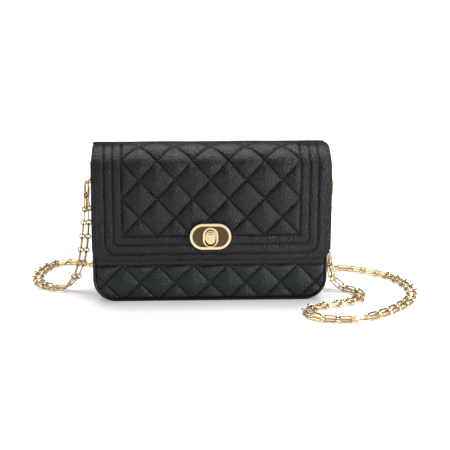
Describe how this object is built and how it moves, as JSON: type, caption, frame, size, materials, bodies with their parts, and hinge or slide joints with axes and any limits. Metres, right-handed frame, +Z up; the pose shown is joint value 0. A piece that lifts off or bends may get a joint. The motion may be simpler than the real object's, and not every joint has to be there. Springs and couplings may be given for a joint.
{
  "type": "quilted crossbody purse",
  "caption": "Small boxed leather crossbody purse with a quilted turn-lock flap and a doubled chain strap hung through side eyelets.",
  "frame": {"origin": "centre of the base, on the surface the purse stands on", "axes": "+Z up, X along the width, the flap's face looks along -Y"},
  "size_m": [0.3283, 0.1764, 0.1295],
  "materials": {
    "black_leather": "satin pebbled grain",
    "edge_leather": "painted edge, satin",
    "leatherboard": "matt pressed board",
    "padding": "open-cell foam",
    "lining_cloth": "matt woven cloth",
    "zip_tape": "woven tape",
    "gilt_metal": "polished pale gold plate",
    "dull_gilt": "brushed, slightly dull"
  },
  "bodies": {
    "case": {"front_panel": "black_leather", "front_padding": "padding", "front_board": "leatherboard", "back_panel": "black_leather", "back_board": "leatherboard", "gusset": "black_leather", "base_board": "leatherboard", "front_piping": "edge_leather", "back_piping": "edge_leather", "lining": "lining_cloth", "slip_pocket": "lining_cloth", "zip_tape_upper": "zip_tape", "zip_tape_lower": "zip_tape", "zip_teeth": "dull_gilt", "hinge_strip": "black_leather", "left_eyelet": "gilt_metal", "right_eyelet": "gilt_metal", "left_eyelet_washer": "dull_gilt", "right_eyelet_washer": "dull_gilt", "lock_base": "gilt_metal", "lock_base_screws": "dull_gilt", "lock_spindle": "dull_gilt", "lock_washer": "dull_gilt"},
    "flap_top": {"flap_top_leather": "black_leather", "flap_top_board": "leatherboard", "flap_top_lining": "lining_cloth"},
    "flap_front": {"flap_front_leather": "black_leather", "flap_front_padding": "padding", "flap_front_board": "leatherboard", "flap_front_lining": "lining_cloth", "lock_plate": "gilt_metal", "lock_plate_backing": "dull_gilt", "lock_plate_rivets": "dull_gilt"},
    "turn_knob": {"turn_knob": "gilt_metal"},
    "strap": {"left_anchor_bar": "dull_gilt", "right_anchor_bar": "dull_gilt", "left_anchor_links": "gilt_metal", "right_anchor_links": "gilt_metal", "left_hang_rings": "gilt_metal", "left_hang_links": "gilt_metal", "back_run_rings": "gilt_metal", "back_run_links": "gilt_metal", "right_fold_rings": "gilt_metal", "right_fold_links": "gilt_metal", "right_hang_rings": "gilt_metal", "right_hang_links": "gilt_metal"},
    "left_loop": {"left_loop_rings": "gilt_metal", "left_loop_links": "gilt_metal"},
    "right_loop": {"right_loop_rings": "gilt_metal", "right_loop_links": "gilt_metal"},
    "zip_slider": {"zip_slider": "gilt_metal"},
    "zip_pull": {"zip_pull": "gilt_metal"}
  },
  "joints": [
    {"name": "flap_lift", "type": "hinge", "parent": "case", "child": "flap_top", "pos_m": [0, 0.02, 0.126], "axis": [-1, 0, 0], "range_deg": [0, 200]},
    {"name": "flap_fold", "type": "hinge", "parent": "flap_top", "child": "flap_front", "pos_m": [0, -0.0192, 0.123], "axis": [-1, 0, 0], "range_deg": [0, 90]},
    {"name": "knob_turn", "type": "hinge", "parent": "case", "child": "turn_knob", "pos_m": [0, -0.026, 0.0567], "axis": [0, 1, 0], "range_deg": [0, 90]},
    {"name": "strap_swing", "type": "hinge", "parent": "case", "child": "strap", "pos_m": [0, 0.006, 0.0965], "axis": [1, 0, 0], "range_deg": [0, 90]},
    {"name": "left_loop_lift", "type": "hinge", "parent": "strap", "child": "left_loop", "pos_m": [-0.13044, 0.00978, 0.0023], "axis": [0.3492, 0.937, 0], "range_deg": [0, 60]},
    {"name": "right_loop_lift", "type": "hinge", "parent": "strap", "child": "right_loop", "pos_m": [0.1134, 0.05856, 0.0023], "axis": [-0.0938, -0.9956, 0], "range_deg": [0, 70]},
    {"name": "zip_slide", "type": "slide", "parent": "case", "child": "zip_slider", "axis": [1, 0, 0], "range_m": [0, 0.108]},
    {"name": "zip_pull_swing", "type": "hinge", "parent": "zip_slider", "child": "zip_pull", "pos_m": [-0.054, 0.0109, 0.093], "axis": [0, 0, -1], "range_deg": [0, 160]}
  ],
  "couplings": [
    {"joint": "flap_fold", "follows": "flap_lift", "ratio": 0.45}
  ]
}
